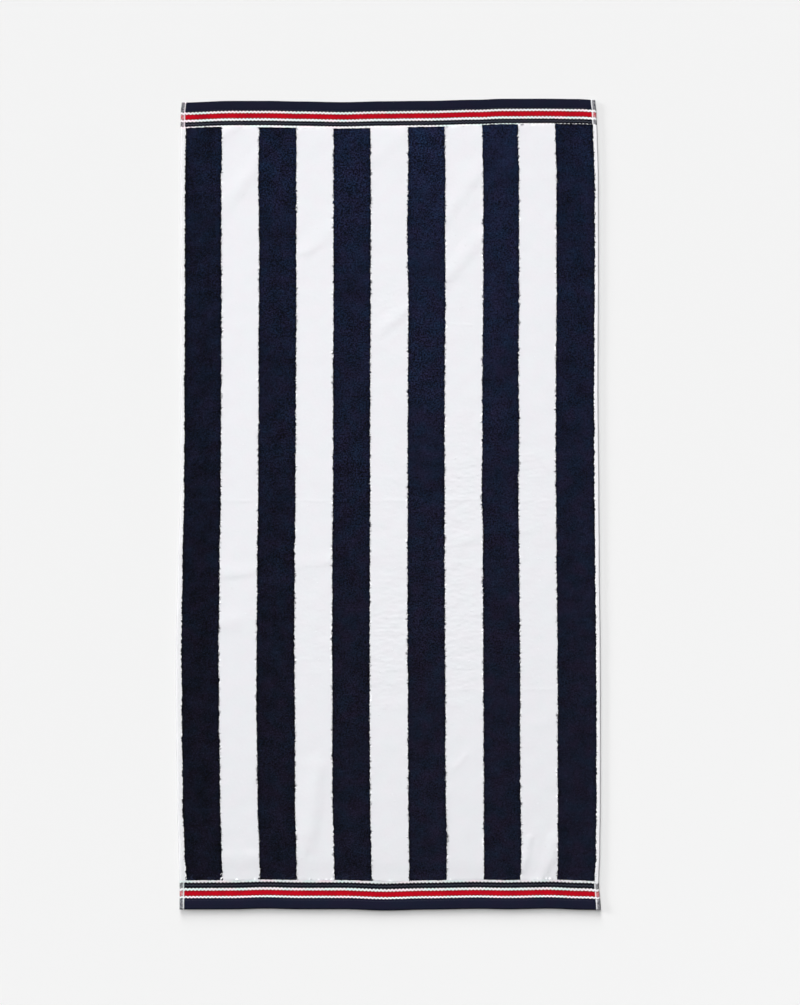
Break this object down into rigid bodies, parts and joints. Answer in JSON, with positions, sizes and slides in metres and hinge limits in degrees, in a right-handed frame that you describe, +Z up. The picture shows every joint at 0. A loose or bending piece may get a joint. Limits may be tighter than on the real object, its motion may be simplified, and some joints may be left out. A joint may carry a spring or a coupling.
{
  "type": "beach towel",
  "caption": "Terry beach towel laid out flat, with broad lengthwise stripes, a flat-woven border and turned hem at each end, and narrow side hems.",
  "frame": {"origin": "centre of the towel's outline, on the surface it lies on", "axes": "+X across the towel, +Y along its stripes towards the upper end, +Z up out of the face that shows"},
  "size_m": [0.9126, 1.7434, 0.0066],
  "materials": {
    "terry_cloth": "matt cotton cloth with navy and white warp stripes, and a border of red, white and navy weft bands",
    "navy_pile": "matt navy cotton loops",
    "white_pile": "matt white cotton loops",
    "sewing_thread": "white polyester sewing thread, slightly shiny"
  },
  "bodies": {
    "root": {"towel": "terry_cloth"}
  },
  "joints": []
}
